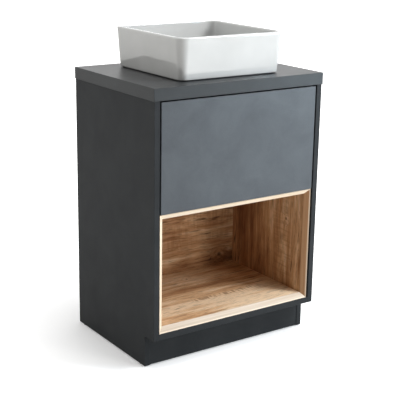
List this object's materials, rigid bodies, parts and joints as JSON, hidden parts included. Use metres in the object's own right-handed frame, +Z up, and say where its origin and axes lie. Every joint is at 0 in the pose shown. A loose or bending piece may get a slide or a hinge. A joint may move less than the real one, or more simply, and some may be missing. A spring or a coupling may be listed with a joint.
{
  "type": "vessel sink on vanity",
  "caption": "Floor-standing bathroom vanity: square vessel basin on a dark worktop, push-open drawer above an open oak-lined niche, waste and bottle trap inside.",
  "frame": {"origin": "on the floor, under the middle of the worktop's outline", "axes": "+X to the right as seen from the front, +Y to the wall behind, +Z up"},
  "size_m": [0.605, 0.462, 0.969],
  "materials": {
    "anthracite_laminate": "smooth matte anthracite laminate on particle board",
    "back_sheet": "painted thin fibreboard",
    "oak_board": "brown rustic oak decor, fine grain",
    "maple_edging": "light wood edging, satin",
    "drawer_board": "grey textile-print laminate",
    "basin_glaze": "glossy white glaze",
    "polished_chrome": "polished",
    "white_plastic": "moulded, satin",
    "black_plastic": "moulded, matte",
    "grey_plastic": "moulded, matte",
    "seal_rubber": "matte",
    "zinc_steel": "zinc plated"
  },
  "bodies": {
    "cabinet": {"base_panel": "anthracite_laminate", "basin": "basin_glaze", "cam_bolts": "zinc_steel", "cam_locks": "zinc_steel", "carcass_back_panel": "back_sheet", "floor_glides": "black_plastic", "middle_back_rail": "anthracite_laminate", "niche_edging_bottom": "maple_edging", "niche_edging_left": "maple_edging", "niche_edging_right": "maple_edging", "niche_edging_top": "maple_edging", "niche_liner_back": "oak_board", "niche_liner_bottom": "oak_board", "niche_liner_left": "oak_board", "niche_liner_right": "oak_board", "niche_liner_screws": "zinc_steel", "niche_liner_top": "oak_board", "plinth_board": "anthracite_laminate", "push_latch_housing_left": "grey_plastic", "push_latch_housing_right": "grey_plastic", "runner_cabinet_channel_left": "zinc_steel", "runner_cabinet_channel_right": "zinc_steel", "runner_cabinet_screws": "zinc_steel", "side_panel_left": "anthracite_laminate", "side_panel_right": "anthracite_laminate", "top_back_rail": "anthracite_laminate", "top_front_rail": "anthracite_laminate", "trap_body": "white_plastic", "trap_cup": "white_plastic", "trap_inlet_nut": "white_plastic", "trap_outlet_nut": "white_plastic", "trap_outlet_pipe": "white_plastic", "trap_washers": "seal_rubber", "waste_backnut": "white_plastic", "waste_body": "polished_chrome", "waste_flange_seal": "seal_rubber", "waste_washer": "seal_rubber", "worktop": "anthracite_laminate", "worktop_screws": "zinc_steel"},
    "drawer": {"drawer_front": "anthracite_laminate", "drawer_side_left": "drawer_board", "drawer_side_right": "drawer_board", "drawer_box_front": "drawer_board", "drawer_base_sheet": "drawer_board", "trap_recess_side_left": "drawer_board", "trap_recess_side_right": "drawer_board", "trap_recess_front": "drawer_board", "drawer_back_left": "drawer_board", "drawer_back_right": "drawer_board", "runner_drawer_channel_left": "zinc_steel", "runner_drawer_channel_right": "zinc_steel", "runner_drawer_screws": "zinc_steel", "drawer_front_screws": "zinc_steel"},
    "runner_middle": {"runner_middle_channel_left": "zinc_steel", "runner_middle_channel_right": "zinc_steel"},
    "waste_plug": {"waste_plug": "polished_chrome"},
    "push_plunger_left": {"push_latch_plunger_left": "grey_plastic"},
    "push_plunger_right": {"push_latch_plunger_right": "grey_plastic"}
  },
  "joints": [
    {"name": "drawer_slide", "type": "slide", "parent": "cabinet", "child": "drawer", "axis": [0, -1, 0], "range_m": [0, 0.35]},
    {"name": "runner_middle_slide", "type": "slide", "parent": "cabinet", "child": "runner_middle", "axis": [0, -1, 0], "range_m": [0, 0.175]},
    {"name": "waste_plug_slide", "type": "slide", "parent": "cabinet", "child": "waste_plug", "axis": [0, 0, 1], "range_m": [0, 0.008]},
    {"name": "push_plunger_left_slide", "type": "slide", "parent": "cabinet", "child": "push_plunger_left", "axis": [0, 1, 0], "range_m": [0, 0.003], "stiffness_N_per_m": 400, "springref_m": -0.001},
    {"name": "push_plunger_right_slide", "type": "slide", "parent": "cabinet", "child": "push_plunger_right", "axis": [0, 1, 0], "range_m": [0, 0.003], "stiffness_N_per_m": 400, "springref_m": -0.001}
  ],
  "couplings": [
    {"joint": "runner_middle_slide", "follows": "drawer_slide", "ratio": 0.5}
  ]
}
